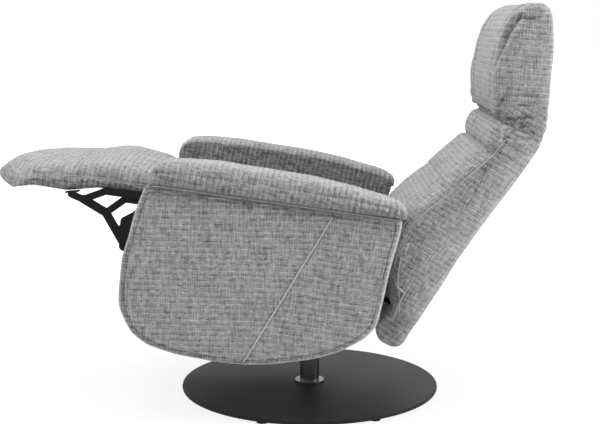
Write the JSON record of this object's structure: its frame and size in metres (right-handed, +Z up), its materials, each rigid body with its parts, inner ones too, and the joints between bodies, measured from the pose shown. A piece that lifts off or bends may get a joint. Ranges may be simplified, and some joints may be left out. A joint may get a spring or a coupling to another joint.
{
  "type": "swivel recliner chair",
  "caption": "Upholstered swivel recliner on a round plate base, with padded side shells and arms, a footrest on folding links, a reclining back and a tilting head.",
  "frame": {"origin": "on the swivel axis at floor level, under the middle of the base plate", "axes": "+Z up; -Y the way the sitter faces, with the footrest out along it; +X the sitter's left"},
  "size_m": [0.72, 1.4317, 1.0478],
  "materials": {
    "cloth": "grey slubbed weave",
    "anthracite_plate": "satin powder coat",
    "column_metal": "dark satin metal",
    "black_steel": "black paint",
    "bright_steel": "turned",
    "chrome": "polished",
    "plywood": "plain",
    "black_nylon": "moulded"
  },
  "bodies": {
    "base": {"base_plate": "anthracite_plate", "column_tube": "column_metal", "column_bush": "black_nylon", "glide_1": "black_nylon", "glide_2": "black_nylon", "glide_3": "black_nylon", "glide_4": "black_nylon", "glide_5": "black_nylon", "glide_6": "black_nylon", "glide_7": "black_nylon"},
    "swivel": {"swivel_spindle": "bright_steel", "swivel_collar": "black_nylon", "swivel_yoke": "black_steel", "tilt_shaft": "bright_steel"},
    "seat_shell": {"front_cross_tube": "black_steel", "rear_cross_tube": "black_steel", "seat_plate": "black_steel", "spring_mat": "black_nylon", "seat_cushion": "cloth", "gas_spring_cylinder": "black_steel", "button_bezel": "chrome", "seat_rail_left": "black_steel", "seat_rail_right": "black_steel", "side_board_left": "plywood", "side_board_right": "plywood", "side_panel_left": "cloth", "side_panel_right": "cloth", "arm_pad_left": "cloth", "arm_pad_right": "cloth", "link_plate_left": "black_steel", "link_plate_right": "black_steel", "recline_bracket_left": "black_steel", "recline_bracket_right": "black_steel"},
    "lift_links": {"lift_link_left": "black_steel", "lift_link_right": "black_steel"},
    "footrest": {"footrest_board": "plywood", "footrest_cushion": "cloth", "footrest_bracket_left": "black_steel", "footrest_bracket_right": "black_steel"},
    "swing_links": {"swing_link_left": "black_steel", "swing_link_right": "black_steel"},
    "knee_links": {"knee_link_left": "black_steel", "knee_link_right": "black_steel", "link_stretcher": "black_steel"},
    "guide_links": {"guide_link_left": "black_steel", "guide_link_right": "black_steel"},
    "backrest": {"back_frame": "black_steel", "back_roll": "cloth", "back_shell": "cloth", "back_cushion": "cloth", "neck_roll": "cloth", "head_ratchet_left": "bright_steel", "head_ratchet_right": "bright_steel"},
    "spring_rod": {"gas_spring_rod": "chrome"},
    "headrest": {"head_plate": "black_steel", "head_cushion": "cloth", "head_wing_left": "cloth", "head_wing_right": "cloth"},
    "push_button_1": {"push_button_1": "bright_steel"},
    "push_button_2": {"push_button_2": "bright_steel"}
  },
  "joints": [
    {"name": "swivel", "type": "hinge", "parent": "base", "child": "swivel", "pos_m": [0, 0, 0.05], "axis": [0, 0, 1], "continuous": true},
    {"name": "seat_tilt", "type": "hinge", "parent": "swivel", "child": "seat_shell", "pos_m": [0, 0.03, 0.25], "axis": [1, 0, 0], "range_deg": [0, 12]},
    {"name": "footrest_lift", "type": "hinge", "parent": "seat_shell", "child": "lift_links", "pos_m": [0, -0.39027, 0.5622], "axis": [1, 0, 0], "range_deg": [0, 55.6]},
    {"name": "footrest_turn", "type": "hinge", "parent": "lift_links", "child": "footrest", "pos_m": [0, -0.50603, 0.57556], "axis": [1, 0, 0], "range_deg": [0, 17.7]},
    {"name": "swing_turn", "type": "hinge", "parent": "seat_shell", "child": "swing_links", "pos_m": [0, -0.29015, 0.45607], "axis": [1, 0, 0], "range_deg": [0, 60.7]},
    {"name": "knee_turn", "type": "hinge", "parent": "swing_links", "child": "knee_links", "pos_m": [0, -0.46396, 0.43678], "axis": [1, 0, 0], "range_deg": [-59.2, 0]},
    {"name": "guide_turn", "type": "hinge", "parent": "seat_shell", "child": "guide_links", "pos_m": [0, -0.33408, 0.53799], "axis": [1, 0, 0], "range_deg": [0, 60.1]},
    {"name": "back_recline", "type": "hinge", "parent": "seat_shell", "child": "backrest", "pos_m": [0, 0.16401, 0.3033], "axis": [-1, 0, 0], "range_deg": [0, 24]},
    {"name": "spring_slide", "type": "slide", "parent": "seat_shell", "child": "spring_rod", "axis": [0, -0.9781, 0.2079], "range_m": [0, 0.019]},
    {"name": "head_tilt", "type": "hinge", "parent": "backrest", "child": "headrest", "pos_m": [0, 0.53133, 0.74464], "axis": [-1, 0, 0], "range_deg": [0, 27]},
    {"name": "button_press_1", "type": "slide", "parent": "seat_shell", "child": "push_button_1", "axis": [-1, 0, 0], "range_m": [0, 0.003], "stiffness_N_per_m": 600},
    {"name": "button_press_2", "type": "slide", "parent": "seat_shell", "child": "push_button_2", "axis": [-1, 0, 0], "range_m": [0, 0.003], "stiffness_N_per_m": 600}
  ],
  "couplings": [
    {"joint": "footrest_turn", "follows": "footrest_lift", "ratio": 0.31652},
    {"joint": "swing_turn", "follows": "footrest_lift", "ratio": 1.0888},
    {"joint": "knee_turn", "follows": "footrest_lift", "ratio": -1.0615},
    {"joint": "guide_turn", "follows": "footrest_lift", "ratio": 1.078},
    {"joint": "spring_slide", "follows": "back_recline", "m_per_rad": 0.044}
  ]
}
